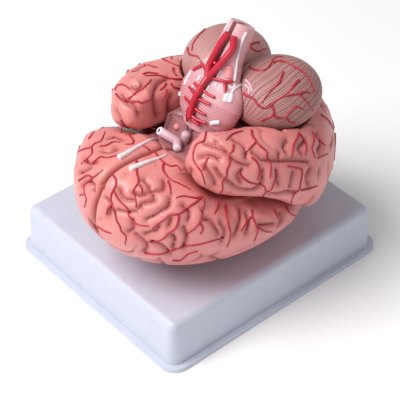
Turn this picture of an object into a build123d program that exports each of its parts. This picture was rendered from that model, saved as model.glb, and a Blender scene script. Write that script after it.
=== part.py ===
from build123d import *
from math import cos, exp, pi, radians, sin, sqrt, tan
import os

# Brain anatomy model, life size, standing upside down on its display base.
# Millimetres. The origin is on the table under the middle of the whole model, which
# the brain overhangs on two sides. +X is the back of the brain, +Y its left side,
# and +Z the brain's underside with the brain stem. Every carved form is worked out
# for the right side, as x from the base's middle, the distance out from the mid
# plane, and z, and is mirrored for the left.

# Display base
base_length = 165
base_width = 146
base_height = 34.5
base_wall = 2.5
base_draft = 3
base_corner = 7
base_edge = 5
lip_width = 3.6
lip_height = 3
base_x = 2.1
base_y = 2.5

# Whole brain, and where its middle stands from the base's middle
brain_length = 171
brain_width = 133.4
brain_height = 106
brain_x = -8
brain_y = -16.5
brain_seat = 0.3
body_gap = 0.4
bed_gap = 2

# Seam under the temporal and occipital lobes, as x and z on the brain's side. It
# falls outward at the seam angle, which is also the way that those lobes draw out.
seam_angle = 15
seam_reach = 60
seam_heights = [(-53, 107), (-33, 94), (-20, 90), (-11, 87.5), (0, 82), (18, 70), (31, 63), (50, 58), (85, 56)]

# Underside of the frontal lobes, and the core between the temporal lobes that
# carries the brain stem, as x and z
roof_heights = [(-120, 122), (-75, 117.5), (-57, 116.5), (-42, 114.5), (-34, 109), (-22.5, 108.5), (-19, 116)]
core_height = 116
core_half_width = 22
core_back = 30
lobe_fall = 7
shoulder_out = 48
shoulder_rise = 3
shoulder_blend = 14
roof_blend = 7
fissure_depth = 4.5
fissure_width = 5

# Folds of the cortex
fold_pitch = 30
fold_depth = 3
fold_width = 3
fold_waves = 11
fold_slope = 0.35

# Temporal lobe: x, distance of its middle from the mid plane, middle height, half
# width and half height. It stands proud of the brain's ovoid, most at the front.
temporal_sections = [
    (-46.5, 34.5, 119, 4, 4),
    (-44.5, 34.5, 119, 9, 8.5),
    (-38, 35, 119, 16, 15),
    (-30, 36.5, 119, 20, 18.5),
    (-15, 42, 114.25, 23, 17.75),
    (0, 43, 107, 25, 21.5),
    (15, 43, 98.5, 26.5, 26.5),
    (30, 41, 92, 30, 29),
    (50, 36, 85, 40, 33),
    (85, 30, 80, 46, 34),
]
temporal_blend = 9
temporal_power = 3.2
temporal_pinch = 0.6
temporal_proud = [(-10, 12), (30, 3), (60, 1)]

# Cerebellum: the middle and size of its right half, and its folia
cerebellum_x = 29
cerebellum_out = 22
cerebellum_z = 131
cerebellum_length = 56
cerebellum_width = 52
cerebellum_height = 40
folia = 14
folia_depth = 0.9
folia_rings = 9
folia_lean = 25

# Brain stem, along its own axis, which leans back from the pons. Each section is a
# height along the axis, half width, half depth and shift forward.
stem_lean = 32
stem_x = -0.5
stem_z = 131.5
medulla_slot = 3
slot_start = 13
slot_floor = -1
stem_sections = [
    (-27, 12, 8, -2),
    (-19, 15, 9, -1),
    (-15, 19.5, 10.5, 0),
    (-9, 22.5, 11.5, 0.5),
    (-1, 24, 12, 1),
    (6, 22.5, 11.5, 0.5),
    (11, 18, 10.5, 0),
    (15, 13.5, 9, 1.5),
    (24, 10.8, 8, 2.5),
    (34, 9.6, 7.5, 2.5),
    (46, 7.8, 7.2, 2),
]
stem_sides = 20

# Arteries over the stem: height along the axis and distance out. Each branch starts
# at the middle of the trunk.
artery_clearance = 0.5
artery_sides = 6
basilar_radius = 2.3
vertebral_radius = 1.9
branch_radius = 1
artery_pin_height = 4
artery_pin_reach = 5
artery_pin_radius = 1.2
basilar_course = [(-15, 2.4), (-6, 2.8), (4, 1.8), (15, 0.6)]
vertebral_course = [(15, 0), (20, 2.4), (27, 3.7), (36, 4.6)]
cerebral_branch = [(-15, 0), (-19, 4.5), (-20, 8.5), (-18, 13)]
side_branches = [
    [(-9, 0), (-9.5, 5), (-7.5, 10)],
    [(-3, 0), (-3.5, 5), (-1.5, 10)],
    [(3, 0), (2.5, 5), (4, 9.5)],
    [(11, 0), (9.5, 5), (10, 11)],
]

# Locating pins, and the pegs of the base
peg_diameter = 8
peg_reach = 26
peg_spacing = 44
pin_diameter = 4
pin_reach = 9
pin_seat = 9
pin_clearance = 0.3

# Nerves and stalk in front of the stem
tract_radius = 1.5
tract_end_radius = 2.6
tract_out = 6.8
tract_course = [(-69, 117.2), (-56, 116.8), (-42.5, 114.6)]
optic_radius = 2.6
optic_bore = 1.3
optic_middle = (-29, 111.5)
optic_ends = [(-33.5, 11.5, 115.5), (-34, -4, 111.5)]
stalk_radius = 2.3
stalk_ends = [(-24.4, 109), (-23.2, 115.4)]

# Grids of the carved forms
cortex_facets = 11
temporal_facets = 9

mid_y = base_y + brain_y
half_length = brain_length / 2
half_width = brain_width / 2
half_height = brain_height / 2
brain_z = base_height + brain_seat + half_height
core_front = roof_heights[-1][0]
mid_plane = Plane.XZ.offset(-mid_y)
base_plane = Plane((base_x, base_y, 0))
stem_up = Vector(sin(radians(stem_lean)), 0, cos(radians(stem_lean)))
stem_forward = Vector(-cos(radians(stem_lean)), 0, sin(radians(stem_lean)))
stem_middle = Vector(base_x + stem_x, mid_y, stem_z)
draw_slope = tan(radians(seam_angle))


def between(table, x, column=1):
    """Value of a column of the table at x, in a straight line between its rows."""
    if x <= table[0][0]:
        return table[0][column]
    for low, high in zip(table, table[1:]):
        if x <= high[0]:
            share = (x - low[0]) / (high[0] - low[0])
            return low[column] + share * (high[column] - low[column])
    return table[-1][column]


def blend_max(a, b, radius):
    """The greater of two values, rounded over where they meet."""
    mix = max(radius - abs(a - b), 0) / radius
    return max(a, b) + mix * mix * radius / 4


def ovoid_distance(place, middle, sizes):
    """Roughly how far a place lies outside an ovoid."""
    reach = sqrt(sum(((p - m) / s) ** 2 for p, m, s in zip(place, middle, sizes)))
    return (reach - 1) * min(sizes)


def cortex_distance(x, out, z):
    """Outside the ovoid of the whole brain."""
    return ovoid_distance((x, out, z), (brain_x, 0, brain_z), (half_length, half_width, half_height))


def cerebellum_distance(x, out, z):
    """Outside the right half of the cerebellum."""
    middle = (cerebellum_x, cerebellum_out, cerebellum_z)
    sizes = (cerebellum_length / 2, cerebellum_width / 2, cerebellum_height / 2)
    return ovoid_distance((x, out, z), middle, sizes)


def fold_groove(x, out, z):
    """Depth of the grooves of the cortex: they wander along the zero lines of a field."""
    field = 0
    for wave in range(fold_waves):
        rise = 1 - (2 * wave + 1) / fold_waves
        turn = wave * pi * (3 - sqrt(5))
        flat = sqrt(1 - rise * rise)
        phase = x * flat * cos(turn) + out * flat * sin(turn) + z * rise
        field += cos(2 * pi * phase / fold_pitch + 1.7 * wave)
    field /= sqrt(fold_waves / 2)
    away = abs(field) / (fold_slope * 2 * pi / fold_pitch)
    return fold_depth * exp(-((away / (2 * fold_width)) ** 2))


def seam_height(x, out):
    """Height of the seam between the two pairs of lobes."""
    return between(seam_heights, x) + (seam_reach - out) * draw_slope


def frontal_distance(x, out, z):
    """Outside the frontal and parietal lobes, before they are cut at their seams."""
    roof = between(roof_heights, x) - lobe_fall * (out / 40) ** 2
    if x > core_front:
        roof = core_height
    solid = blend_max(cortex_distance(x, out, z), z - roof, roof_blend)
    if x > seam_heights[0][0] and out > core_half_width:
        inward = max(shoulder_out - out, 0) * shoulder_rise
        solid = blend_max(solid, z - seam_height(x, out) - inward, shoulder_blend)
    lip = fissure_depth * exp(-((out / fissure_width) ** 2))
    return max(solid + lip, bed_gap - cerebellum_distance(x, out, z))


def temporal_distance(x, out, z):
    """Outside the temporal and occipital lobes, before they are cut at their seams."""
    middle, height, wide, high = (between(temporal_sections, x, column) for column in range(1, 5))
    power = 2
    if z < height and out < middle:
        high /= 1 + temporal_pinch * (middle - out) / wide
    elif z < height:
        power = temporal_power
    section = (abs((out - middle) / wide) ** power + abs((z - height) / high) ** power) ** (1 / power)
    section = max((section - 1) * high, temporal_sections[0][0] - x)
    solid = blend_max(cortex_distance(x, out, z) - between(temporal_proud, x), section, temporal_blend)
    # Drawn outward and down, the lobe stays clear of the cerebellum
    away = min(max(cerebellum_out + 8 - out, 0), cerebellum_out)
    bed = min(cerebellum_distance(x, out + away, z - away * draw_slope), cerebellum_distance(x, out, z))
    return max(solid, bed_gap - bed)


def geodesic(count):
    """Directions spread evenly over a sphere, and the triangles between them."""
    golden = (1 + sqrt(5)) / 2
    corners = []
    for a in (-1, 1):
        for b in (-golden, golden):
            corners += [(0, a, b), (a, b, 0), (b, 0, a)]
    sides = [(a, b, c) for a in range(12) for b in range(a) for c in range(b)]
    near = [s for s in sides if all(
        (Vector(*corners[s[i]]) - Vector(*corners[s[i - 1]])).length < 2.1 for i in range(3))]
    places = {}
    triangles = []

    def place(mix, side):
        spot = Vector(0, 0, 0)
        for share, corner in zip(mix, side):
            spot += Vector(*corners[corner]) * share
        spot = spot.normalized()
        return places.setdefault(tuple(round(v, 6) for v in spot), len(places))

    for side in near:
        a, b, c = (Vector(*corners[corner]) for corner in side)
        if (b - a).cross(c - a).dot(a) < 0:
            side = side[::-1]
        for i in range(count):
            for j in range(count - i):
                k = count - i - j
                triangles.append([place(m, side) for m in ((k, i, j), (k - 1, i + 1, j), (k - 1, i, j + 1))])
                if k > 1:
                    corners_up = ((k - 1, i + 1, j), (k - 2, i + 1, j + 1), (k - 1, i, j + 1))
                    triangles.append([place(m, side) for m in corners_up])
    return list(places), triangles


def facet_solid(points, triangles):
    """A closed solid of flat triangles."""
    corners = [Vector(*point) for point in points]
    faces = [Face(Wire.make_polygon([corners[k] for k in triangle], close=True)) for triangle in triangles]
    return Solid(Shell(faces))


def surface_reach(distance, middle, step):
    """How far the surface is from a middle point, one way."""
    low = 0
    high = 150
    for _ in range(24):
        reach = (low + high) / 2
        if distance(*(m + reach * s for m, s in zip(middle, step))) > 0:
            high = reach
        else:
            low = reach
    return low


def carved_lobe(distance, middle, sizes, count):
    """A lobe of the right side, with its folds."""
    directions, triangles = geodesic(count)
    points = []
    for direction in directions:
        step = Vector(*(d * s for d, s in zip(direction, sizes))).normalized()
        reach = surface_reach(distance, middle, step)
        x, out, z = (m + reach * s for m, s in zip(middle, step))
        if cortex_distance(x, out, z) > -9:
            reach -= fold_groove(x, out, z)
        points.append(tuple(right_place(*(m + reach * s for m, s in zip(middle, step)))))
    return facet_solid(points, [triangle[::-1] for triangle in triangles])


def ring_triangles(count, rings):
    """Triangles over a row of closed rings, whose end points come last."""
    triangles = []
    start = count * rings
    for k in range(count):
        after = (k + 1) % count
        last = count * (rings - 1)
        triangles.append((start, after, k))
        triangles.append((start + 1, last + k, last + after))
        for ring in range(rings - 1):
            low = count * ring
            high = low + count
            triangles.append((low + k, low + after, high + after))
            triangles.append((low + k, high + after, high + k))
    return triangles


def temporal_room(gap):
    """The room of a right temporal and occipital lobe: above the seam, beside the core."""
    outer = mid_y - seam_reach - 30
    corners = [(x, z + gap) for x, z in seam_heights]
    corners = [(-140, corners[0][1] + 35)] + corners + [(140, corners[-1][1]), (140, 260), (-140, 260)]
    flank = mid_y - core_half_width - gap
    back = core_back + gap
    centre = mid_y - body_gap / 2
    with BuildPart() as room:
        with BuildSketch(Plane(origin=(base_x, outer, -30 * draw_slope), x_dir=(1, 0, 0), z_dir=(0, -1, 0))):
            with BuildLine():
                Polyline(*corners, close=True)
            make_face()
        extrude(amount=140, dir=(0, 1, draw_slope))
        with BuildSketch(Plane((base_x, 0, 0))):
            with BuildLine():
                Polyline((-150, flank), (back, flank), (back, centre), (150, centre),
                         (150, centre + 120), (-150, centre + 120), close=True)
            make_face()
        extrude(amount=400, mode=Mode.SUBTRACT)
    return room.part


def stem_place(height, out, forward):
    """A place by its height along the stem's axis, out from the mid plane and forward."""
    return stem_middle + stem_up * height + stem_forward * forward - Vector(0, out, 0)


def stem_surface(height, out):
    """How far forward the front of the stem lies."""
    wide, deep, shift = (between(stem_sections, height, column) for column in (1, 2, 3))
    return shift + deep * sqrt(max(1 - (out / wide) ** 2, 0.05))


def stem_form(sections, extra):
    """The whole stem, or with some extra the room it needs."""
    points = []
    for height, wide, deep, shift in sections:
        for side in range(stem_sides):
            turn = 2 * pi * (side + 0.5) / stem_sides
            out = (wide + extra) * cos(turn)
            points.append(tuple(stem_place(height, out, shift + (deep + extra) * sin(turn))))
    points += [tuple(stem_place(section[0], 0, section[3])) for section in (sections[0], sections[-1])]
    return closed_form(points, ring_triangles(stem_sides, len(sections)))


def closed_form(points, triangles):
    """A closed solid of flat triangles, turned the right way out."""
    solid = facet_solid(points, triangles)
    return solid if solid.volume > 0 else facet_solid(points, [triangle[::-1] for triangle in triangles])


def tube(course, radius, end_radius=None):
    """A tube of flat facets along a course of places, narrowing to its end."""
    end_radius = end_radius or radius
    points = []
    for k, place in enumerate(course):
        way = (course[min(k + 1, len(course) - 1)] - course[max(k - 1, 0)]).normalized()
        across = way.cross(stem_forward).normalized()
        over = across.cross(way)
        size = radius + (end_radius - radius) * k / (len(course) - 1)
        for side in range(artery_sides):
            turn = 2 * pi * (side + 0.5) / artery_sides
            points.append(tuple(place + across * (size * cos(turn)) + over * (size * sin(turn))))
    points += [tuple(course[0]), tuple(course[-1])]
    return closed_form(points, ring_triangles(artery_sides, len(course)))


def over_stem(course, radius):
    """Places of an artery that lies over the front of the stem."""
    lift = radius + artery_clearance
    return [stem_place(height, out, stem_surface(height, out) + lift) for height, out in course]


def branch(course, radius, side, end_radius=None):
    """A branch that leaves the trunk, to the right or the left."""
    start = course[0][0]
    outward = [(height, side * out) for height, out in course[1:]]
    rooted = [(start, between(basilar_course, start))] + outward
    return tube(over_stem(rooted, radius), radius, end_radius)


def rod(start, end, radius):
    """A round pin, or the bore for one."""
    return Solid.make_cylinder(radius, (end - start).length, Plane(origin=start, z_dir=end - start))


def right_place(x, out, z):
    """A place on the right side, in the model's own frame."""
    return Vector(base_x + x, mid_y - out, z)


# Base: a moulded shell, open below, with a boss for each peg
base_spread = base_height * tan(radians(base_draft))
peg_x = base_x + brain_x
peg_places = [(peg_x, mid_y - peg_spacing / 2), (peg_x, mid_y + peg_spacing / 2)]
inside_height = base_height - base_wall
with BuildPart() as base:
    with BuildSketch(base_plane):
        RectangleRounded(base_length + 2 * base_spread, base_width + 2 * base_spread, base_corner)
    extrude(amount=base_height, taper=base_draft)
    fillet(base.edges().group_by(Axis.Z)[-1], base_edge)
    with BuildSketch(base_plane):
        RectangleRounded(base_length + 2 * (base_spread + lip_width), base_width + 2 * (base_spread + lip_width),
                         base_corner + lip_width)
    extrude(amount=lip_height)
    with BuildSketch(base_plane):
        RectangleRounded(base_length + 2 * (base_spread - base_wall), base_width + 2 * (base_spread - base_wall),
                         base_corner - base_wall)
    extrude(amount=inside_height, taper=base_draft, mode=Mode.SUBTRACT)
    with BuildSketch(Plane.XY.offset(inside_height)):
        with Locations(*peg_places):
            Circle(peg_diameter)
    extrude(amount=-peg_diameter)
    with BuildSketch(Plane.XY.offset(inside_height - peg_diameter)):
        with Locations(*peg_places):
            Circle(peg_diameter / 2)
    extrude(amount=base_wall + peg_diameter, mode=Mode.SUBTRACT)

# Pegs that stand in the base and hold the brain
with BuildPart() as base_pegs:
    with BuildSketch(Plane.XY.offset(inside_height - peg_diameter)):
        with Locations(*peg_places):
            Circle(peg_diameter / 2)
    extrude(amount=base_wall + peg_diameter + peg_reach)
    chamfer(base_pegs.edges().group_by(Axis.Z)[-1], peg_diameter / 8)

# Places of the pins: where each crosses the faces that it joins, and its direction
hemisphere_pin_places = [(-50, 82), (40, 60)]
temporal_pin_places = [(-8, 111), (18, 109)]
draw_out = Vector(0, -cos(radians(seam_angle)), -sin(radians(seam_angle)))
pin_radius = pin_diameter / 2
temporal_pins_right = [right_place(x, core_half_width, z) for x, z in temporal_pin_places]
cerebellum_pin_foot = right_place(25, 13, 113)
stem_pin_foot = right_place(-12, 7, core_height)

# Frontal and parietal lobes
with BuildPart() as frontal_parietal_right:
    add(carved_lobe(frontal_distance, (brain_x, 24, brain_z - 8), (half_length, half_width, half_height),
                    cortex_facets))
    split(bisect_by=mid_plane.offset(body_gap / 4), keep=Keep.TOP)
    add(temporal_room(0), mode=Mode.SUBTRACT)
    with BuildSketch(Plane.XY):
        with Locations(peg_places[0]):
            Circle(peg_diameter / 2 + pin_clearance)
    extrude(amount=base_height + peg_reach + 1, mode=Mode.SUBTRACT)
    for x, z in hemisphere_pin_places:
        add(rod(right_place(x, -1, z), right_place(x, pin_seat, z), pin_radius), mode=Mode.SUBTRACT)
    for foot in temporal_pins_right:
        add(rod(foot - draw_out * pin_seat, foot + draw_out * 3, pin_radius), mode=Mode.SUBTRACT)
    add(rod(cerebellum_pin_foot - stem_up * pin_seat, cerebellum_pin_foot + stem_up * 9, pin_radius),
        mode=Mode.SUBTRACT)
    add(rod(stem_pin_foot - Vector(0, 0, pin_seat), stem_pin_foot + Vector(0, 0, 3), pin_radius),
        mode=Mode.SUBTRACT)
with BuildPart() as frontal_parietal_left:
    mirror(frontal_parietal_right.part, about=mid_plane)

# Temporal and occipital lobes
with BuildPart() as temporal_occipital_right:
    add(carved_lobe(temporal_distance, (8, 44, 97), (68, 30, 34), temporal_facets))
    add(temporal_room(body_gap), mode=Mode.INTERSECT)
    add(stem_form(stem_sections, 2 * body_gap), mode=Mode.SUBTRACT)
    for foot in temporal_pins_right:
        add(rod(foot - draw_out * 3, foot + draw_out * (pin_reach + 1), pin_radius + pin_clearance),
            mode=Mode.SUBTRACT)
with BuildPart() as temporal_occipital_left:
    mirror(temporal_occipital_right.part, about=mid_plane)


def cerebellum_form():
    """One half of the cerebellum: its folia fan out from low in front, round to the back."""
    count = 2 * folia
    points = []

    def add_point(turn, angle, fold):
        front = -cos(turn)
        up = sin(turn) * sin(angle)
        lean = radians(folia_lean)
        x = cerebellum_x + (cerebellum_length / 2 - fold) * (front * cos(lean) - up * sin(lean))
        out = cerebellum_out + (cerebellum_width / 2 - fold) * sin(turn) * cos(angle)
        z = cerebellum_z + (cerebellum_height / 2 - fold) * (front * sin(lean) + up * cos(lean))
        points.append(tuple(right_place(x, out, z)))

    for ring in range(folia_rings):
        turn = pi * (ring + 0.7) / (folia_rings + 0.4)
        for side in range(count):
            groove = side % 2 if ring > 1 else 0
            add_point(turn, 2 * pi * side / count, folia_depth * sin(turn) * groove)
    for turn in (0, pi):
        add_point(turn, 0, 0)
    return closed_form(points, ring_triangles(count, folia_rings))


# Cerebellum, hollowed to clear the stem on its way out
widest = max(stem_sections, key=lambda section: section[1])
stem_room = [(-45, *widest[1:])] + stem_sections[stem_sections.index(widest):] + [(70, *stem_sections[-1][1:])]
with BuildPart() as cerebellum_right:
    add(cerebellum_form())
    split(bisect_by=mid_plane.offset(body_gap / 2), keep=Keep.TOP)
    add(stem_form(stem_room, 2 * body_gap), mode=Mode.SUBTRACT)
    add(rod(cerebellum_pin_foot - stem_up * 9, cerebellum_pin_foot + stem_up * (pin_reach + 1),
            pin_radius + pin_clearance), mode=Mode.SUBTRACT)
with BuildPart() as cerebellum_left:
    mirror(cerebellum_right.part, about=mid_plane)

# Brain stem, in two halves that stand on the core, parted by a slot along the medulla
with BuildPart() as brain_stem_right:
    add(stem_form(stem_sections, 0))
    split(bisect_by=mid_plane.offset(body_gap / 4), keep=Keep.TOP)
    split(bisect_by=Plane.XY.offset(core_height), keep=Keep.TOP)
    with BuildSketch(Plane(origin=stem_place(slot_start, 0, slot_floor + 30), x_dir=(0, 1, 0), z_dir=stem_up)):
        Rectangle(medulla_slot, 60)
    extrude(amount=60, mode=Mode.SUBTRACT)
    add(rod(stem_pin_foot - Vector(0, 0, 3), stem_pin_foot + Vector(0, 0, pin_reach), pin_radius),
        mode=Mode.SUBTRACT)
    artery_pin_foot = stem_place(artery_pin_height, 0, stem_surface(artery_pin_height, 0))
    add(rod(artery_pin_foot - stem_forward * (artery_pin_reach + 1), artery_pin_foot + stem_forward * 3,
            artery_pin_radius + pin_clearance), mode=Mode.SUBTRACT)
with BuildPart() as brain_stem_left:
    mirror(brain_stem_right.part, about=mid_plane)

# Arteries at the stem, one moulding with its own small pin
with BuildPart() as basilar_artery:
    add(tube(over_stem(basilar_course, basilar_radius), basilar_radius, vertebral_radius))
    for side in (-1, 1):
        add(branch(vertebral_course, vertebral_radius, side))
        add(branch(cerebral_branch, vertebral_radius, side, branch_radius))
        for course in side_branches:
            add(branch(course, branch_radius, side))
    add(rod(artery_pin_foot - stem_forward * artery_pin_reach,
            artery_pin_foot + stem_forward * basilar_radius, artery_pin_radius))

# Locating pins
with BuildPart() as hemisphere_pins:
    for x, z in hemisphere_pin_places:
        add(rod(right_place(x, -pin_seat, z), right_place(x, pin_seat, z), pin_radius))
with BuildPart() as temporal_pins:
    for foot in temporal_pins_right:
        add(rod(foot - draw_out * pin_seat, foot + draw_out * pin_reach, pin_radius))
    mirror(about=mid_plane)
with BuildPart() as cerebellum_pins:
    add(rod(cerebellum_pin_foot - stem_up * pin_seat, cerebellum_pin_foot + stem_up * pin_reach, pin_radius))
    mirror(about=mid_plane)
with BuildPart() as stem_pins:
    add(rod(stem_pin_foot - Vector(0, 0, pin_seat), stem_pin_foot + Vector(0, 0, pin_reach), pin_radius))
    mirror(about=mid_plane)

# Olfactory tracts, seated on the underside of the frontal lobes
with BuildPart() as olfactory_tract_right:
    course = [right_place(x, tract_out, z) for x, z in tract_course]
    add(tube(course, tract_end_radius, tract_radius))
    add(frontal_parietal_right.part, mode=Mode.SUBTRACT)
with BuildPart() as olfactory_tract_left:
    mirror(olfactory_tract_right.part, about=mid_plane)

# Optic chiasm with its cut nerves, the left one bored, and the pituitary stalk behind
chiasm = right_place(optic_middle[0], 0, optic_middle[1])
with BuildPart() as optic_chiasm:
    for x, out, z in optic_ends:
        add(rod(chiasm, right_place(x, -out, z), optic_radius))
    bored = right_place(optic_ends[0][0], -optic_ends[0][1], optic_ends[0][2])
    add(rod(bored, bored + (chiasm - bored).normalized() * 5, optic_bore), mode=Mode.SUBTRACT)
with BuildPart() as pituitary_stalk:
    foot, top = (right_place(x, 0, z) for x, z in stalk_ends)
    add(rod(foot, top, stalk_radius))

# Names and files of the pieces
base.part.label = "base"
base_pegs.part.label = "base_pegs"
frontal_parietal_right.part.label = "frontal_parietal_right"
frontal_parietal_left.part.label = "frontal_parietal_left"
temporal_occipital_right.part.label = "temporal_occipital_right"
temporal_occipital_left.part.label = "temporal_occipital_left"
cerebellum_right.part.label = "cerebellum_right"
cerebellum_left.part.label = "cerebellum_left"
brain_stem_right.part.label = "brain_stem_right"
brain_stem_left.part.label = "brain_stem_left"
basilar_artery.part.label = "basilar_artery"
hemisphere_pins.part.label = "hemisphere_pins"
temporal_pins.part.label = "temporal_pins"
cerebellum_pins.part.label = "cerebellum_pins"
stem_pins.part.label = "stem_pins"
olfactory_tract_right.part.label = "olfactory_tract_right"
olfactory_tract_left.part.label = "olfactory_tract_left"
optic_chiasm.part.label = "optic_chiasm"
pituitary_stalk.part.label = "pituitary_stalk"
os.makedirs("parts", exist_ok=True)
export_step(base.part, "parts/base.step")
export_step(base_pegs.part, "parts/base_pegs.step")
export_step(frontal_parietal_right.part, "parts/frontal_parietal_right.step")
export_step(frontal_parietal_left.part, "parts/frontal_parietal_left.step")
export_step(temporal_occipital_right.part, "parts/temporal_occipital_right.step")
export_step(temporal_occipital_left.part, "parts/temporal_occipital_left.step")
export_step(cerebellum_right.part, "parts/cerebellum_right.step")
export_step(cerebellum_left.part, "parts/cerebellum_left.step")
export_step(brain_stem_right.part, "parts/brain_stem_right.step")
export_step(brain_stem_left.part, "parts/brain_stem_left.step")
export_step(basilar_artery.part, "parts/basilar_artery.step")
export_step(hemisphere_pins.part, "parts/hemisphere_pins.step")
export_step(temporal_pins.part, "parts/temporal_pins.step")
export_step(cerebellum_pins.part, "parts/cerebellum_pins.step")
export_step(stem_pins.part, "parts/stem_pins.step")
export_step(olfactory_tract_right.part, "parts/olfactory_tract_right.step")
export_step(olfactory_tract_left.part, "parts/olfactory_tract_left.step")
export_step(optic_chiasm.part, "parts/optic_chiasm.step")
export_step(pituitary_stalk.part, "parts/pituitary_stalk.step")
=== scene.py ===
from math import cos, pi, radians, sin, sqrt, tan

import bpy
import numpy as np
from mathutils import Matrix, Vector
from mathutils.bvhtree import BVHTree

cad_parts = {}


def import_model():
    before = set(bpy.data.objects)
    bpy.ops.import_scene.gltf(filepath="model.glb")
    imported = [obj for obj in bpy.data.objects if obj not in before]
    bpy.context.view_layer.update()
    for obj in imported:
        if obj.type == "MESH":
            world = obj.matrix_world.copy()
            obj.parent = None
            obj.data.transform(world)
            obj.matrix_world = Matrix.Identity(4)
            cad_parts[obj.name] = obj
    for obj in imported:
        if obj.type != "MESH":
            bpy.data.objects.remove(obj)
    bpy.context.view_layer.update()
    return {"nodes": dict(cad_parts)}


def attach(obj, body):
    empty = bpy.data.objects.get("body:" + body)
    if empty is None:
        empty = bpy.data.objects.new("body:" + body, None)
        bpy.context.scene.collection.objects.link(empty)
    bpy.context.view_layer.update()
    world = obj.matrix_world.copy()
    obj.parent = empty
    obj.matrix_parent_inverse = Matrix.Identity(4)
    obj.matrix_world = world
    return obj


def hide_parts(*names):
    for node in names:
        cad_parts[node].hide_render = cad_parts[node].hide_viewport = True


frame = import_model()

# Brain anatomy model on its display base. Sizes are in millimetres, and meshes are
# made in metres when they are handed to Blender. The carved forms are worked out for
# the right side, as x from the base's middle, the distance out from the mid plane,
# and z.
METRE = 0.001
base_middle = Vector((2.1, 2.5, 0))

# The photograph's camera: its place, the point that it looks at, its roll and lens
image_size = 400
camera_place = base_middle + Vector((-446.8, -535.1, 637.4))
camera_aim = base_middle + Vector((-25.93, -32.63, 75))
camera_roll = -0.92
camera_lens = 130.1
sensor_width = 36

# Driving sizes of the brain, as the frame has them
brain_length = 171
brain_width = 133.4
brain_height = 106
brain_x = -8
mid_y = base_middle.y - 16.5
base_height = 34.5
brain_seat = 0.3
brain_z = base_height + brain_seat + brain_height / 2
body_gap = 0.4
half_gap = 0.1
bed_gap = 1.2

# Seam between the two pairs of lobes
seam_slope = tan(radians(15))
seam_reach = 60
seam_line = [(-53, 107), (-33, 94), (-20, 90), (-11, 87.5), (0, 82), (18, 70), (31, 63), (50, 58), (85, 56)]
seam_rounding = 3

# Underside of the frontal lobes, and the core under the brain stem
roof_line = [(-120, 122), (-75, 117.5), (-57, 116.5), (-42, 114.5), (-34, 109), (-22.5, 108.5), (-19, 116)]
core_front = -19
core_back = 30
core_height = 116
core_half_width = 22
lobe_fall = 7
shoulder_out = 48
shoulder_rise = 3
shoulder_blend = 14
roof_blend = 7
lobe_fall_out = 40
# The long fissure, and the fine cleft in it
fissure_depth = 1.2
fissure_width = 2.6
cleft_depth = 1.6
cleft_width = 1
# Painted shade in the hollow around the core: where it starts in front, out and up, and how softly
core_shade_front = -40
core_shade_reach = 24
core_shade_height = 90
core_shade_fades = (8, 4, 5)

# Temporal lobe: x, middle out, middle z, half width, half height
temporal_sections = [
    (-46.5, 34.5, 119, 4, 4),
    (-44.5, 34.5, 119, 9, 8.5),
    (-38, 35, 119, 16, 15),
    (-30, 36.5, 119, 20, 18.5),
    (-15, 42, 114.25, 23, 17.75),
    (0, 43, 107, 25, 21.5),
    (15, 43, 98.5, 26.5, 26.5),
    (30, 41, 92, 30, 29),
    (50, 36, 85, 40, 33),
    (85, 30, 80, 46, 34),
]
temporal_blend = 9
temporal_power = 3.2
temporal_pinch = 0.6
temporal_proud = [(-10, 12), (30, 3), (60, 1)]
# The left lobe is carved a little fuller on top than the right one
left_rise = [(-28, 0), (-8, 2.5), (18, 2.5), (35, 0)]
# How far the seam's shade reaches, and how far inward the cerebellum's bed runs on
seam_shade_width = 1.1
bed_lead = 8

# Cerebellum: middle and size of its right half
cerebellum_middle = (29, 22, 131)
cerebellum_size = (56, 52, 40)

# Brain stem: height along its axis, half width, half depth and shift forward
stem_lean = 32
stem_middle = Vector((-0.5, mid_y, 131.5))
stem_sections = [
    (-27, 12, 8, -2),
    (-19, 15, 9, -1),
    (-15, 19.5, 10.5, 0),
    (-9, 22.5, 11.5, 0.5),
    (-1, 24, 12, 1),
    (6, 22.5, 11.5, 0.5),
    (11, 18, 10.5, 0),
    (15, 13.5, 9, 1.5),
    (24, 10.8, 8, 2.5),
    (34, 9.6, 7.5, 2.5),
    (46, 7.8, 7.2, 2),
]
stem_up = Vector((sin(radians(stem_lean)), 0, cos(radians(stem_lean))))
stem_forward = Vector((-cos(radians(stem_lean)), 0, sin(radians(stem_lean))))

# The slot in the front of the medulla, the stem's mesh, and the cross stripes of the pons
medulla_slot = 3
slot_start = 13
slot_floor = 1
stem_step = 0.35
stem_turns = 48
stripe_ends = (-18, 9)
stripe_fade = 3
stripe_pitch = 1.5
stripe_depth = 0.22
stripe_bow = 3
stripe_wander = 0.3

# Folia of the cerebellum, shown less on its left half
folia = 98
folium_steps = 6
folia_depth = 0.45
folia_shown = {1: 1, -1: 0.4}
folia_wander = 0.04
folia_lean = 25
cerebellum_rings = 100
least_reach = 0.02

# Folds of the cortex by formula, and the grooves that follow the photograph. A fold
# fades out near a groove or an artery, and near the edge of its piece.
fold_pitch = 30
fold_waves = 11
fold_shift = 1.7
fold_slope = 0.35
fold_depth = 2.6
fold_width = 2.4
groove_depth = 2.8
groove_width = 1.7
groove_reach = 12
plain_reach = 9
edge_width = 1.5
cortex_step = 1.1
sharp_angle = 60

# Laying courses on the pieces: the longest and shortest step inside a run, the pixels
# between two rays, how much nearer than a place a ray may stop, how far a mirrored place
# moves, and where the courses of the back start
longest_jump = 5
shortest_step = 0.01
pixel_step = 1.2
seen_margin = 3
mirror_reach = 12
behind = 150
course_step = 1

# Arteries raised on the cortex and the cerebellum
artery_radius = 0.75
artery_tip_radius = 0.45
artery_lift = 0.25
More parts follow.
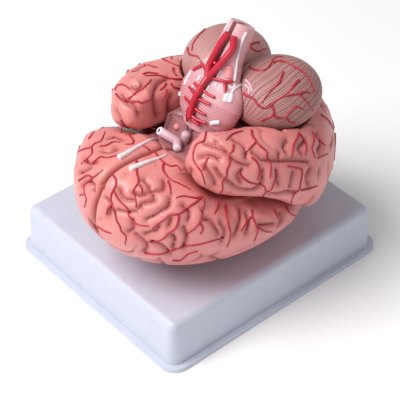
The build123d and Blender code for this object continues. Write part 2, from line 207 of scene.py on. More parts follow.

# Courses read off the photograph, as pixels across and down. Each is cast from
# the camera onto the piece that carries it.
temporal_left_grooves = [
    [(168, 78), (162, 80.5), (158, 85.5), (156, 90), (155, 99), (156, 112), (158, 117)],
    [(134, 70), (140, 66), (149, 63), (156, 65)],
    [(120, 96), (127, 103), (134, 108), (140, 116)],
    [(143, 84), (138, 88), (133, 86)],
    [(172, 96), (169, 104), (170, 112)],
]
temporal_right_grooves = [
    [(205, 142), (215, 145.5), (222, 148), (228, 153)],
    [(216, 140), (215.5, 145)],
    [(197, 157), (205, 155.5), (213, 156), (219, 159)],
    [(232, 158), (238, 162), (245, 164.5), (250, 165.5)],
    [(253, 151), (259, 155), (263, 159)],
    [(264, 159), (271, 160), (280, 160.5), (295, 160.5), (306, 161), (310, 162)],
    [(280.5, 153), (280.5, 161)],
    [(225, 181), (230, 184), (236, 189), (243, 191), (251, 191.5), (257, 189), (261, 185), (263, 179),
     (263.5, 170)],
    [(215, 169), (218, 174), (221.5, 179)],
    [(278, 170), (279, 184)],
    [(294.5, 172), (291, 188)],
    [(269, 195), (279, 195), (285, 193), (295, 193)],
    [(204, 167), (209, 174), (213, 181), (214, 187)],
    [(235, 139), (243, 143), (247, 149), (247, 157)],
    [(288, 139), (285, 145), (287, 151)],
    [(306, 140), (300, 147), (303, 153)],
    [(318, 133), (322, 143), (319, 151)],
    [(243, 170), (238, 177), (241, 184)],
    [(312, 168), (308, 176), (309, 184)],
]
frontal_right_grooves = [
    [(119, 189), (121, 196), (125, 200), (133, 200)],
    [(145, 179), (149, 183), (151, 189)],
    [(165, 180), (165, 185), (162, 189), (153, 190), (142, 194), (134, 193)],
    [(139, 209), (142, 204), (150, 201), (155, 199), (154, 194)],
    [(147, 220), (155, 216), (162, 211), (169, 205), (171, 198)],
    [(117, 211), (126, 213), (135, 212)],
    [(132, 221), (133, 229), (128, 233)],
    [(135, 235), (143, 242), (147, 248), (144, 253)],
    [(172, 236), (175, 240), (173, 249)],
    [(159, 227), (155, 232), (145, 235)],
    [(171, 219), (169, 227)],
    [(205, 218.5), (210, 219)],
    [(212, 220), (216, 227), (219, 235)],
    [(241, 208), (241.5, 218), (239, 228), (235, 236)],
    [(260, 225), (268, 225), (275, 224)],
    [(184, 205), (190, 212), (189, 221)],
    [(105, 198), (110, 206), (108, 216)],
    [(152, 243), (162, 247), (170, 255)],
    [(184, 228), (187, 238), (184, 248)],
    [(222, 222), (226, 232), (222, 242)],
    [(247, 212), (250, 222), (247, 234)],
    [(281, 212), (283, 220), (279, 227)],
]
frontal_left_grooves = [
    [(83, 158), (88, 162), (96, 161)],
    [(104, 150), (112, 150), (117, 147)],
    [(78, 172), (84, 170), (90, 166)],
    [(123, 138), (117, 135), (110, 137)],
    [(80, 186), (86, 181), (92, 184), (93, 192)],
]
temporal_left_arteries = [
    [(187, 78), (177, 79.5), (168, 78), (159, 75.5), (151, 75.5), (145, 76)],
    [(143, 74.5), (146, 73), (152, 73), (158, 73.6)],
    [(159.5, 57), (166, 61), (174, 64.5), (182, 68)],
    [(168.6, 55), (171.4, 57), (171.4, 59.5)],
    [(173, 68), (173.6, 73), (177, 76)],
    [(115.5, 90), (117, 86), (121, 84.5), (126, 86), (129.5, 89.5)],
    [(116, 94), (119.5, 98), (124, 101), (131, 97), (137, 92), (142, 90), (146, 85.5), (149.5, 82),
     (151, 79.5)],
    [(128, 99.5), (132, 102), (137, 101), (141, 103), (146, 101), (150.5, 100), (153, 95.5)],
    [(166, 83.6), (164, 87), (159.5, 90.5)],
    [(167, 90), (165, 95.5), (162, 101)],
    [(170.5, 83.6), (174, 88), (178.6, 88), (180.5, 90)],
]
temporal_right_arteries = [
    [(207, 129.5), (205.5, 136), (204, 141), (197, 144), (194, 150), (193, 157), (195, 163), (200, 170),
     (203, 176), (205, 184)],
    [(208, 158), (205, 164), (202.5, 170.5)],
    [(233.5, 144.5), (232.5, 151), (229, 155), (229.5, 163), (226.5, 171), (227, 176), (223, 179.5),
     (222, 184), (223, 189), (220, 193.5)],
    [(238, 170), (241.5, 176), (246, 180), (250, 182.5), (260, 184.5), (263, 185), (266, 191), (263, 196),
     (259.5, 206)],
    [(242.5, 131.5), (236, 133), (230, 136), (226, 140.5)],
    [(251.5, 130.5), (252.5, 137), (256, 141.5), (250, 148), (244, 154.5)],
    [(256, 142), (261, 147), (266, 151), (267, 157), (270, 164), (271, 170), (270, 178)],
    [(251.5, 157.5), (256, 161), (259, 167), (259, 174), (257.5, 180)],
    [(275, 170), (276, 175), (274, 182), (271, 190), (267, 191.5)],
    [(299, 133), (297, 139), (294, 144), (292.5, 150), (291.5, 158)],
    [(299.5, 134), (304, 140), (306.5, 147), (305, 155)],
    [(312, 131.5), (314, 139), (313, 145), (311.5, 149), (314, 154), (315, 158)],
    [(314, 135), (319, 140), (325, 145.5)],
    [(287, 166), (295, 167.5), (301, 169), (302, 174), (300.5, 182), (299, 190), (294, 194), (291, 203)],
    [(301, 190), (308, 189), (317, 186)],
    [(318, 158), (325, 155), (328, 154)],
    [(321, 115), (327, 119), (331, 125), (335, 132)],
]
frontal_left_arteries = [
    [(78, 152), (85, 149), (91, 147.5), (95, 143.5), (101, 141), (105, 132)],
    [(91.5, 148), (92.5, 153), (89, 157), (81, 164.5)],
    [(100, 146.5), (107, 145.5), (113, 142), (120, 142.5)],
    [(93, 163), (100, 157), (107, 158), (117, 155.5)],
    [(89, 139), (94, 132)],
    [(129, 135), (133, 140), (133, 144), (125, 144.5)],
    [(121, 129), (121, 133)],
    [(79, 180.5), (84, 177), (88, 175), (93, 177.5), (98, 174), (103, 170)],
    [(93, 177.5), (86, 184), (84, 190), (85.5, 196), (86.5, 200), (84.5, 207)],
    [(80.5, 195), (85, 194)],
    [(143, 146), (148, 149), (150, 151)],
]
frontal_right_arteries = [
    [(108, 170), (113, 175), (116, 180), (115.5, 186), (112, 193), (111, 199), (113, 205), (115, 213),
     (117, 221), (120, 226), (121, 231), (126, 236), (125, 244)],
    [(114, 191), (118, 199), (124, 205), (128, 209), (128.5, 215), (134, 221), (139, 225), (149, 226)],
    [(111.5, 205), (108, 209), (106.5, 214)],
    [(136.5, 160), (136.5, 170), (137.5, 176), (138.5, 182), (133, 191.5), (136, 199), (136, 207)],
    [(138.5, 184), (142, 189), (142, 193)],
    [(155, 152.5), (159, 158), (164, 163), (171, 166.5), (177, 165.5), (180, 171)],
    [(164, 163), (162.5, 168), (165, 174), (171, 180), (180, 184), (190, 189.5)],
    [(168, 181), (170, 186), (170.5, 194)],
    [(202, 197), (195, 198), (183, 196), (176, 198)],
    [(202, 197), (195, 203), (187, 208), (180, 213.5), (170, 215), (165, 219), (158, 224), (152, 229)],
    [(179, 215), (178, 223), (175, 229), (169, 233), (164, 238), (158, 241), (146, 242)],
    [(202, 197), (204, 203), (202, 210), (200.5, 220), (195, 228), (186, 234.5)],
    [(200, 223), (203, 229), (200, 234)],
    [(95, 225), (105, 231), (111, 233)],
    [(145, 253), (160, 254), (173, 250), (185, 246), (195, 245), (205, 243), (215, 240), (224, 237.5)],
    [(173, 260), (181, 260), (188, 254), (198, 251)],
    [(225, 203), (225.5, 210), (226.5, 218), (229, 227), (230.5, 234), (229.5, 241), (227, 247)],
    [(219, 202), (217, 209), (214, 214)],
    [(252, 210), (252.5, 216), (255, 223), (257.5, 230), (256, 237), (254, 241)],
    [(251.5, 217), (247, 222), (241, 231)],
    [(274, 210), (276.5, 215), (279, 221)],
    [(286, 207), (289.5, 213), (296, 216), (299, 214.5)],
    [(259, 228), (265, 231.5), (272, 232)],
]
cerebellum_left_arteries = [
    [(188, 48), (188.6, 53.6), (192, 55.5), (197, 56), (199.5, 59)],
    [(205, 29.5), (197, 38), (193, 44.5), (192, 51)],
    [(259, 42.5), (255, 42.5), (250.5, 44), (250, 47), (254, 50), (258, 51.5), (263, 49), (267, 48.5)],
]
cerebellum_right_arteries = [
    [(249.5, 67), (255, 70), (263, 70.5), (267, 69), (271, 64), (275, 57.5), (283, 57)],
    [(272, 63), (278, 61.5), (285, 62), (295, 67.5), (304, 73), (310, 82), (315, 92)],
    [(283.5, 72), (281, 78), (279, 83), (274, 88), (269, 93), (265, 98), (262, 103)],
    [(243, 93), (247, 96), (253, 98), (257, 103.5), (260, 106.5), (265, 108), (271, 105), (277, 100),
     (283, 97), (291, 95), (299, 94.5), (303, 98), (307, 102), (313, 110)],
    [(299, 94), (304, 92), (310, 93)],
    [(299, 80), (295, 84), (291, 89), (287, 94)],
    [(272, 106), (274, 110), (273, 115), (267, 118), (261, 121)],
    [(274, 116), (280, 118), (285, 117), (289, 113), (293, 108), (297, 106.5), (304, 110)],
    [(286, 117), (290, 122), (295, 123)],
]

# Arteries over the stem: the trunk's two roots and their side branches
trunk_courses = [
    [(228, 33.6), (224.3, 37.6), (219.9, 44.2), (215.5, 52.3), (211.8, 58.9), (209, 65.5), (208, 71),
     (206.7, 78.7)],
    [(233.8, 37), (233.8, 44), (232.4, 49.3), (227.2, 56), (221.4, 62.6), (215.5, 69.2), (211.1, 74.3),
     (206.7, 78.7), (201.5, 86), (197.9, 92.6), (194.2, 100), (192, 106.6), (190.5, 112.4), (189.8, 117)],
]
branch_courses = [
    [(232, 48.5), (236.5, 47.7)],
    [(215, 64), (213.5, 59), (211, 57.5)],
    [(201.5, 88.5), (206.7, 93.4), (211, 95.6), (214, 97)],
    [(197, 97.5), (203, 101.4), (209.6, 104.4)],
    [(192.5, 106), (199.3, 111.7), (205.2, 114.6)],
    [(208, 76), (214, 78.7), (219.9, 80.2), (225.8, 81.6), (233.1, 81.3)],
    [(224.3, 81.6), (225, 86), (225, 92.6)],
    [(203, 85), (199, 88.5), (197.1, 86), (194.2, 83.1)],
    [(197.5, 95), (194.2, 94.1), (192, 90.4), (189.1, 86.8)],
    [(193.5, 104), (190.5, 103.6), (187.6, 100.7), (184.7, 97)],
    [(206.7, 73.5), (205.2, 69.9), (202.3, 64), (199.3, 60), (197, 57.5)],
    [(202.5, 64.5), (200.8, 65.5), (196.4, 67.7), (192.7, 69.9)],
]
end_courses = [
    [(188.8, 108), (190.5, 114), (194.5, 118.2), (199.5, 120.8), (206, 123)],
    [(188.4, 110), (189.8, 116), (193.5, 120.8), (199.5, 125.6)],
    [(188.6, 112), (187.6, 117), (187, 121)],
]
# Arteries on the back of the brain, as out and height
back_courses = [
    [(7, 101), (13, 97), (20, 98), (27, 93), (36, 94), (44, 89)],
    [(20, 98), (23, 91), (19, 85), (22, 79)],
    [(36, 94), (40, 87), (47, 83), (53, 86)],
    [(6, 86), (12, 84), (17, 78), (26, 77), (33, 71), (41, 73), (48, 68), (55, 71)],
    [(12, 84), (14, 76), (11, 70), (15, 64)],
    [(26, 77), (30, 83), (37, 82)],
    [(41, 73), (44, 79), (50, 78)],
    [(5, 64), (11, 60), (18, 62), (25, 57), (32, 58), (38, 53)],
    [(18, 62), (21, 68), (28, 68)],
    [(25, 57), (24, 51), (29, 46), (28, 41)],
    [(38, 60), (43, 56), (51, 58), (56, 63)],
]
trunk_radius = 2.2
trunk_tip_radius = 1.9
end_radius = 1.6
branch_radius = 1
branch_tip_radius = 0.85
artery_clearance = 0.4

# Pale nerve roots on the stem, thin ones and broad ones, and the curls beside it
root_courses = [
    [(246.3, 32.5), (242.6, 40.5), (239.7, 49.3), (237.5, 59.6), (236, 71.4), (234.6, 80.9)],
    [(233.1, 82.4), (235.3, 84.6), (233.8, 88.2), (230.9, 88.2), (229, 85.5)],
    [(241.9, 84.6), (236, 87.5), (233.1, 90.4), (231.6, 93.4)],
    [(221.4, 69.9), (218.4, 74.3), (217, 78)],
    [(217, 82.4), (216.3, 84.5), (215.5, 86)],
    [(209.6, 86), (206.7, 90.4), (203, 97)],
    [(200.8, 75.8), (199, 78.5), (197.1, 80.9)],
    [(193.5, 85.5), (192.7, 86.8), (191.3, 89)],
    [(191, 71.5), (186.9, 78.7), (184.4, 84.6)],
    [(204, 62.5), (206, 60), (208.2, 58.2), (209.5, 60)],
    [(228.7, 23.5), (226.5, 27), (224.5, 30)],
]
broad_root_courses = [
    [(226.8, 92), (226, 97), (225, 101.5)],
    [(231.6, 94), (230.8, 98), (229.8, 102)],
    [(180, 92.6), (179.6, 97), (179.6, 101.4)],
    [(211, 124), (214.8, 122.7), (219.2, 123)],
]
olive_courses = [
    [(228.5, 66), (229.5, 72), (228.5, 78)],
]
curl_courses = [
    [(245.5, 80), (249, 83), (251.5, 88), (252, 92)],
    [(245, 85), (248, 87), (249.5, 90.5), (249, 94)],
]
root_radius = 0.75
broad_root_radius = 1.7
olive_radius = 3

# Parts in front of the stem: tracts, cut nerves and the stalk
tract_courses = {
    -1: [(119, 158), (123, 156), (128, 153), (137, 147.5), (146, 142.5), (152, 139.4), (156.5, 138.8)],
    1: [(130.5, 169.5), (134, 167.8), (142, 164.5), (151, 161), (160, 158), (167, 154.5)],
}
tract_bulb_radius = 1.9
tract_tip_radius = 0.6
carotid_course = [(143, 125.5), (149, 127.5), (155, 130), (160, 133)]
carotid_radius = 1.5
chiasm_middle = (-29, 0, 111.5)
optic_ends = [(-33.5, -11.5, 115.5), (-33.8, 5.4, 112)]
optic_slant = 0.75
optic_radius = 2.6
optic_bore = 1.3
bore_depth = 5
stalk_ends = [(-25, 0.4, 105.2), (-23.2, 1.4, 116.4)]
stalk_radius = 2.3
stalk_head = 2.9
bead_pixel = (177, 127)
bead_radius = 2.1
artery_pin_height = 4
artery_pin_reach = 5
artery_pin_radius = 1.2

# Camera
look = (camera_aim - camera_place).normalized()
level_side = look.cross(Vector((0, 0, 1))).normalized()
level_over = level_side.cross(look)
roll = radians(camera_roll)
camera_side = level_side * cos(roll) + level_over * sin(roll)
camera_over = camera_side.cross(look)
focal_pixels = camera_lens / sensor_width * image_size


def pixel_way(pixel):
    """The direction from the camera through a pixel of the photograph."""
    along, down = (p - image_size / 2 for p in pixel)
    return (look * focal_pixels + camera_side * along - camera_over * down).normalized()


def between(line, x, column=1):
    """Value of a column of the line's rows at x."""
    rows = np.array(line, float)
    return np.interp(x, rows[:, 0], rows[:, column])


def blend_max(a, b, radius):
    """The greater of two values, rounded over where they meet."""
    mix = np.maximum(radius - abs(a - b), 0) / radius
    return np.maximum(a, b) + mix * mix * radius / 4


def ovoid_distance(place, middle, sizes):
    """Roughly how far a place lies outside an ovoid."""
    reach = np.sqrt(sum(((p - m) / s) ** 2 for p, m, s in zip(place, middle, sizes)))
    return (reach - 1) * min(sizes)


def cortex_distance(x, out, z):
    """Outside the ovoid of the whole brain."""
    sizes = (brain_length / 2, brain_width / 2, brain_height / 2)
    return ovoid_distance((x, out, z), (brain_x, 0, brain_z), sizes)


def cerebellum_distance(x, out, z):
    """Outside the right half of the cerebellum."""
    return ovoid_distance((x, out, z), cerebellum_middle, [size / 2 for size in cerebellum_size])


def stem_section(height):
    """Half width, half depth and shift forward of the stem at a height along its axis."""
    return [between(stem_sections, height, column) for column in (1, 2, 3)]


def stem_axes(x, z):
    """The height along the stem's axis and the place forward of it, from x and z."""
    back, rise = x - stem_middle.x, z - stem_middle.z
    height = back * stem_up.x + rise * stem_up.z
    forward = back * stem_forward.x + rise * stem_forward.z
    return height, forward


def on_stem(height, out, forward):
    """Places as x, out and z, from the height along the stem's axis, out and forward."""
    x = stem_middle.x + stem_up.x * height + stem_forward.x * forward
    z = stem_middle.z + stem_up.z * height + stem_forward.z * forward
    return np.stack([x, out, z], axis=-1)


def stem_distance(x, out, z):
    """Outside the brain stem."""
    height, forward = stem_axes(x, z)
    wide, deep, shift = stem_section(height)
    return (np.sqrt((out / wide) ** 2 + ((forward - shift) / deep) ** 2) - 1) * deep


def fold_groove(x, out, z):
    """How deep the folds of the cortex are, from 0 to 1: they wander along a field's zero lines."""
    field = 0
    for wave in range(fold_waves):
        rise = 1 - (2 * wave + 1) / fold_waves
        turn = wave * pi * (3 - sqrt(5))
        flat = sqrt(1 - rise * rise)
        phase = x * flat * cos(turn) + out * flat * sin(turn) + z * rise
        field = field + np.cos(2 * pi * phase / fold_pitch + fold_shift * wave)
    field = field / sqrt(fold_waves / 2)
    away = abs(field) / (fold_slope * 2 * pi / fold_pitch)
    return np.exp(-away / fold_width)


def seam_height(x, out):
    """Height of the seam between the two pairs of lobes."""
    return between(seam_line, x) + (seam_reach - out) * seam_slope


def frontal_forms(x, out, z):
    """How far outside the frontal and parietal lobes, and outside the room that their seams leave."""
    roof = between(roof_line, x) - lobe_fall * (out / lobe_fall_out) ** 2
    roof = np.where(x > core_front, core_height, roof)
    solid = blend_max(cortex_distance(x, out, z), z - roof, roof_blend)
    inward = np.maximum(shoulder_out - out, 0) * shoulder_rise
    shoulder = blend_max(solid, z - seam_height(x, out) - inward, shoulder_blend)
    solid = np.where((x > seam_line[0][0]) & (out > core_half_width), shoulder, solid)
    outer = solid + fissure_depth * np.exp(-((out / fissure_width) ** 2))
    outer = outer + cleft_depth * np.exp(-((out / cleft_width) ** 2))
    outer = np.maximum(outer, bed_gap - cerebellum_distance(x, out, z))
    beside_core = np.minimum(core_half_width - out, core_back - x)
    room = np.maximum(seam_height(x, out) - z, beside_core)
    return outer, np.maximum(half_gap - out, -room)


def temporal_forms(x, out, z, rise_line=((0, 0),)):
    """The same for the temporal and occipital lobes; rise_line makes them fuller on top."""
    middle, height, wide, high = (between(temporal_sections, x, column) for column in range(1, 5))
    rise = between(rise_line, x)
    high = np.where(z > height, high + rise, high)
    low_inside = (z < height) & (out < middle)
    high = np.where(low_inside, high / (1 + temporal_pinch * (middle - out) / wide), high)
    power = np.where((z < height) & (out >= middle), temporal_power, 2)
    section = (abs((out - middle) / wide) ** power + abs((z - height) / high) ** power) ** (1 / power)
    section = np.maximum((section - 1) * high, temporal_sections[0][0] - x)
    solid = blend_max(cortex_distance(x, out, z) - between(temporal_proud, x) - rise, section, temporal_blend)
    away = np.clip(cerebellum_middle[1] + bed_lead - out, 0, cerebellum_middle[1])
    bed = np.minimum(cerebellum_distance(x, out + away, z - away * seam_slope),
                     cerebellum_distance(x, out, z))
    outer = np.maximum(solid, bed_gap - bed)
    beside_core = np.minimum(core_half_width - out, core_back - x) + body_gap
    below = seam_height(x, out) + body_gap - z
    cut = np.maximum(np.maximum(below, beside_core), 2 * half_gap - out)
    return outer, np.maximum(cut, 2 * body_gap - stem_distance(x, out, z))


def net_of(field, low, high, step):
    """Points and quads of the zero surface of a field: one point in each cell that it crosses."""
    axes = [np.arange(a, b + step, step) for a, b in zip(low, high)]
    value = field(*np.meshgrid(*axes, indexing="ij"))
    inside = value < 0
    cells = tuple(n - 1 for n in value.shape)
    total = np.zeros(cells + (3,))
    count = np.zeros(cells)
    crossings = []
    for axis in range(3):
        near = [slice(None)] * 3
        far = [slice(None)] * 3
        near[axis], far[axis] = slice(None, -1), slice(1, None)
        near, far = tuple(near), tuple(far)
        crossed = inside[near] != inside[far]
        crossings.append((crossed, inside[near]))
        at = np.argwhere(crossed)
        first, second = value[near][crossed], value[far][crossed]
        place = at.astype(float)
        place[:, axis] += first / (first - second)
        others = [k for k in range(3) if k != axis]
        for i in (0, 1):
            for j in (0, 1):
                cell = at.copy()
                cell[:, others[0]] -= i
                cell[:, others[1]] -= j
                good = ((cell >= 0) & (cell < cells)).all(axis=1)
                index = tuple(cell[good].T)
                np.add.at(total, index, place[good])
                np.add.at(count, index, 1)
    number = np.full(cells, -1)
    used = count > 0
    number[used] = np.arange(used.sum())
    points = total[used] / count[used][:, None] * step + np.array(low)
    quads = []
    for axis, (crossed, start_inside) in enumerate(crossings):
        others = [(axis + 1) % 3, (axis + 2) % 3]
        at = np.argwhere(crossed)
        start = start_inside[crossed]
        good = (at[:, others[0]] > 0) & (at[:, others[1]] > 0)
        at, start = at[good], start[good]
        corner = []
        for i, j in ((1, 1), (0, 1), (0, 0), (1, 0)):
            cell = at.copy()
            cell[:, others[0]] -= i
            cell[:, others[1]] -= j
            corner.append(number[tuple(cell.T)])
        quad = np.stack(corner, axis=1)
        quad[~start] = quad[~start][:, ::-1]
        quads.append(quad)
    return points, np.concatenate(quads)


def settled(points, field):
    """The points moved onto the zero surface."""
    small = 0.2
    least_slope = 0.3
    longest_move = 0.4
    for _ in range(3):
        value = field(*points.T)
        slope = np.stack([field(*(points + small * step).T) - field(*(points - small * step).T)
                          for step in np.eye(3)], axis=1) / (2 * small)
        size = np.maximum((slope ** 2).sum(axis=1), least_slope)
        move = np.clip(value / size, -longest_move, longest_move)
        points = points - slope * move[:, None]
    return points


def world(points, side):
    """Places on the right side (1) or the left (-1) of the brain, from x, out and z."""
    return np.stack([base_middle.x + points[:, 0], mid_y - side * points[:, 1], points[:, 2]], axis=1)


def corner_normals(points, faces):
    """Outward directions at the points."""
    a, b, c, d = (points[faces[:, k]] for k in range(4))
    normals = np.cross(c - a, d - b)
    total = np.zeros_like(points)
    for k in range(4):
        np.add.at(total, faces[:, k], normals)
    return total / np.maximum(np.linalg.norm(total, axis=1), 1e-9)[:, None]


def make_piece(name, points, faces, body, slot, material, replaces=(), values=None):
    """A smooth mesh piece from places in millimetres, with named values at its points."""
    mesh = bpy.data.meshes.new(name)
    mesh.from_pydata((np.asarray(points) * METRE).tolist(), [], [list(face) for face in faces])
    mesh.polygons.foreach_set("use_smooth", [True] * len(mesh.polygons))
    for label, value in (values or {}).items():
        attribute = mesh.attributes.new(label, "FLOAT", "POINT")
        attribute.data.foreach_set("value", np.asarray(value, np.float32))
    mesh.validate()
    mesh.update()
    mesh.set_sharp_from_angle(angle=radians(sharp_angle))
    piece = bpy.data.objects.new(name, mesh)
    bpy.context.scene.collection.objects.link(piece)
    mesh.materials.append(material)
    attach(piece, body)
    if replaces:
        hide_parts(*replaces)
    return piece


def tree_of(points, faces):
    """A search tree of a mesh."""
    return BVHTree.FromPolygons(np.asarray(points).tolist(), [list(face) for face in faces])


def curve_through(points, step):
    """Places evenly along a smooth curve through the points."""
    points = np.asarray(points, float)
    padded = np.vstack([2 * points[0] - points[1], points, 2 * points[-1] - points[-2]])
    places = [points[0]]
    for a, b, c, d in zip(padded, padded[1:], padded[2:], padded[3:]):
        count = max(int(np.linalg.norm(c - b) / step), 1)
        for k in range(1, count + 1):
            t = k / count
            places.append((2 * b + (c - a) * t + (2 * a - 5 * b + 4 * c - d) * t ** 2
                           + (3 * b - a - 3 * c + d) * t ** 3) / 2)
    return np.array(places)


def runs_of(hits):
    """The places and directions outward of the rays that hit, in runs with no jump or repeated place."""
    runs = [[]]
    for place, normal in hits:
        if place is None:
            runs.append([])
            continue
        step = (place - runs[-1][-1][0]).length if runs[-1] else longest_jump
        if step > longest_jump:
            runs.append([])
        if step > shortest_step:
            runs[-1].append((place, normal))
    return [run for run in runs if len(run) > 2]


def laid(courses, tree):
    """Courses of pixels laid on a mesh."""
    runs = []
    for course in courses:
        runs += runs_of([tree.ray_cast(camera_place, pixel_way(pixel))[:2]
                         for pixel in curve_through(course, pixel_step)])
    return runs


def stem_skin(extra):
    """A search tree of the whole stem's surface, that much larger."""
    heights = np.array([section[0] for section in stem_sections])
    turns = 2 * pi * np.arange(stem_turns) / stem_turns
    height, turn = np.meshgrid(heights, turns, indexing="ij")
    wide, deep, shift = stem_section(height)
    out = (wide + extra) * np.cos(turn)
    points = on_stem(height, out, shift + (deep + extra) * np.sin(turn)).reshape(-1, 3)
    return tree_of(world(points, 1), ring_faces(len(heights), stem_turns))


def ring_faces(rings, count, reverse=False):
    """Quads over a row of closed rings."""
    faces = []
    for start in range(0, (rings - 1) * count, count):
        for k in range(count):
            a, b = start + k, start + (k + 1) % count
            if reverse:
                faces.append((a, b, b + count, a + count))
            else:
                faces.append((a, a + count, b + count, b))
    return faces


def capped_faces(rings, count, reverse=False):
    """Faces over a row of closed rings and its two tips, which come after the rings."""
    faces = ring_faces(rings, count, reverse)
    tip, last = rings * count, (rings - 1) * count
    for k in range(count):
        after = (k + 1) % count
        if reverse:
            faces += [(tip, after, k), (tip + 1, last + k, last + after)]
        else:
            faces += [(tip, k, after), (tip + 1, last + after, last + k)]
    return faces


def seen(place):
    """Whether the camera sees a place of the brain."""
    way = place - camera_place
    hit = brain_tree.ray_cast(camera_place, way.normalized())[3]
    return hit is None or hit > way.length - seen_margin


def mirrored_line(run, tree):
    """A run of the other side laid on this side's mesh, where the camera doesn't see it."""
    hits = []
    for place, _ in run:
        mirror_place = Vector((place.x, 2 * mid_y - place.y, place.z))
        near, normal, _, away = tree.find_nearest(mirror_place)
        hidden = away < mirror_reach and not seen(near)
        hits.append((near, normal) if hidden else (None, None))
    return runs_of(hits)


def line_distance(points, runs, reach):
    """How far each point is from the nearest of the runs, up to a reach."""
    nearest = np.full(len(points), float(reach))
    for run in runs:
        places = np.array([place for place, _ in run])
        low, high = places.min(axis=0) - reach, places.max(axis=0) + reach
        close = np.flatnonzero(((points > low) & (points < high)).all(axis=1))
        for a, b in zip(places, places[1:]):
            along = b - a
            share = np.clip((points[close] - a) @ along / max(along @ along, 1e-9), 0, 1)
            away = np.linalg.norm(points[close] - a - share[:, None] * along, axis=1)
            nearest[close] = np.minimum(nearest[close], away)
    return nearest


def tube_rings(run, start_radius, end_radius, lift, sides=8):
    """Points and faces of a closed round tube along a run, raised by a share of its radius."""
    places = np.array([place for place, _ in run])
    normals = np.array([normal for _, normal in run])
    for _ in range(2):
        places[1:-1] = (places[:-2] + 2 * places[1:-1] + places[2:]) / 4
        normals[1:-1] = (normals[:-2] + 2 * normals[1:-1] + normals[2:]) / 4
    ways = np.gradient(places, axis=0)
    ways /= np.linalg.norm(ways, axis=1)[:, None]
    across = np.cross(ways, normals)
    across /= np.linalg.norm(across, axis=1)[:, None]
    over = np.cross(across, ways)
    count = len(run)
    radius = np.linspace(start_radius, end_radius, count)
    turns = 2 * pi * np.arange(sides) / sides
    centres = places + over * (radius * lift)[:, None]
    rings = centres[:, None] + radius[:, None, None] * (across[:, None] * np.cos(turns)[None, :, None]
                                                        + over[:, None] * np.sin(turns)[None, :, None])
    points = rings.reshape(-1, 3)
    tips = np.array([centres[0] - ways[0] * radius[0] / 2, centres[-1] + ways[-1] * radius[-1] / 2])
    return np.vstack([points, tips]), capped_faces(count, sides, reverse=True)


def joined(shapes):
    """Points and faces of several shapes as one."""
    all_points = []
    all_faces = []
    total = 0
    for points, faces in shapes:
        all_points.append(np.asarray(points))
        all_faces += [tuple(int(k) + total for k in face) for face in faces]
        total += len(points)
    return np.vstack(all_points), all_faces


def tubes(runs, start_radius, end_radius, lift, sides=8):
    """A round tube along each run."""
    return [tube_rings(run, start_radius, end_radius, lift, sides) for run in runs]


def turned(start, end, profile, sides=24, slant=0.0):
    """A turned form between two places, by distances along it and radii; its end may slant to the camera."""
    start, end = (Vector((base_middle.x + x, mid_y - out, z)) for x, out, z in (start, end))
    way = (end - start).normalized()
    across = way.cross(stem_forward).normalized()
    over = across.cross(way)
    towards = (camera_place - end).normalized()
    tilt = (towards - way * towards.dot(way)).normalized() * slant
    points = []
    for along, radius in profile:
        for k in range(sides):
            turn = 2 * pi * k / sides
            off = across * (radius * cos(turn)) + over * (radius * sin(turn))
            shift = -off.dot(tilt) if along > (end - start).length / 2 else 0
            points.append(start + way * (along + shift) + off)
    points += [start + way * profile[0][0], start + way * profile[-1][0]]
    return np.array([tuple(point) for point in points]), capped_faces(len(profile), sides)


def ring_values(rings, sides=24):
    """One value for each ring of a turned form, as values of its points."""
    return np.append(np.repeat(rings, sides), [rings[0], rings[-1]])


# Materials
def node_material(name, roughness, coat=0.0, coat_roughness=0.3):
    """A new node material, its tree and its main shader."""
    material = bpy.data.materials.new(name)
    material.use_nodes = True
    tree = material.node_tree
    shader = tree.nodes["Principled BSDF"]
    shader.inputs["Roughness"].default_value = roughness
    shader.inputs["Coat Weight"].default_value = coat
    shader.inputs["Coat Roughness"].default_value = coat_roughness
    return material, tree, shader


def noise_of(tree, scale, detail=3.0):
    """A noise over the object's own coordinates."""
    coordinates = tree.nodes.new("ShaderNodeTexCoord")
    noise = tree.nodes.new("ShaderNodeTexNoise")
    noise.inputs["Scale"].default_value = scale
    noise.inputs["Detail"].default_value = detail
    tree.links.new(coordinates.outputs["Object"], noise.inputs["Vector"])
    return noise.outputs["Fac"]


def ramp_of(tree, value, stops):
    """Colours along a value."""
    ramp = tree.nodes.new("ShaderNodeValToRGB")
    while len(ramp.color_ramp.elements) < len(stops):
        ramp.color_ramp.elements.new(0.5)
    for element, (place, colour) in zip(ramp.color_ramp.elements, stops):
        element.position = place
        element.color = (*colour, 1)
    tree.links.new(value, ramp.inputs["Fac"])
    return ramp.outputs["Color"]


def mixed(tree, share, first, second):
    """Two colours mixed; each is a socket or a plain colour."""
    mix = tree.nodes.new("ShaderNodeMix")
    mix.data_type = "RGBA"
    for socket, value in zip((mix.inputs[0], mix.inputs[6], mix.inputs[7]), (share, first, second)):
        if isinstance(value, bpy.types.NodeSocket):
            tree.links.new(value, socket)
        else:
            socket.default_value = value if isinstance(value, float) else (*value, 1)
    return mix.outputs[2]


def value_of(tree, label):
    """A value that the mesh carries at its points."""
    attribute = tree.nodes.new("ShaderNodeAttribute")
    attribute.attribute_name = label
    return attribute.outputs["Fac"]


def add_bump(tree, shader, height, strength, distance):
    """Fine relief of the surface."""
    bump = tree.nodes.new("ShaderNodeBump")
    bump.inputs["Strength"].default_value = strength
    bump.inputs["Distance"].default_value = distance
    tree.links.new(height, bump.inputs["Height"])
    tree.links.new(bump.outputs["Normal"], shader.inputs["Normal"])


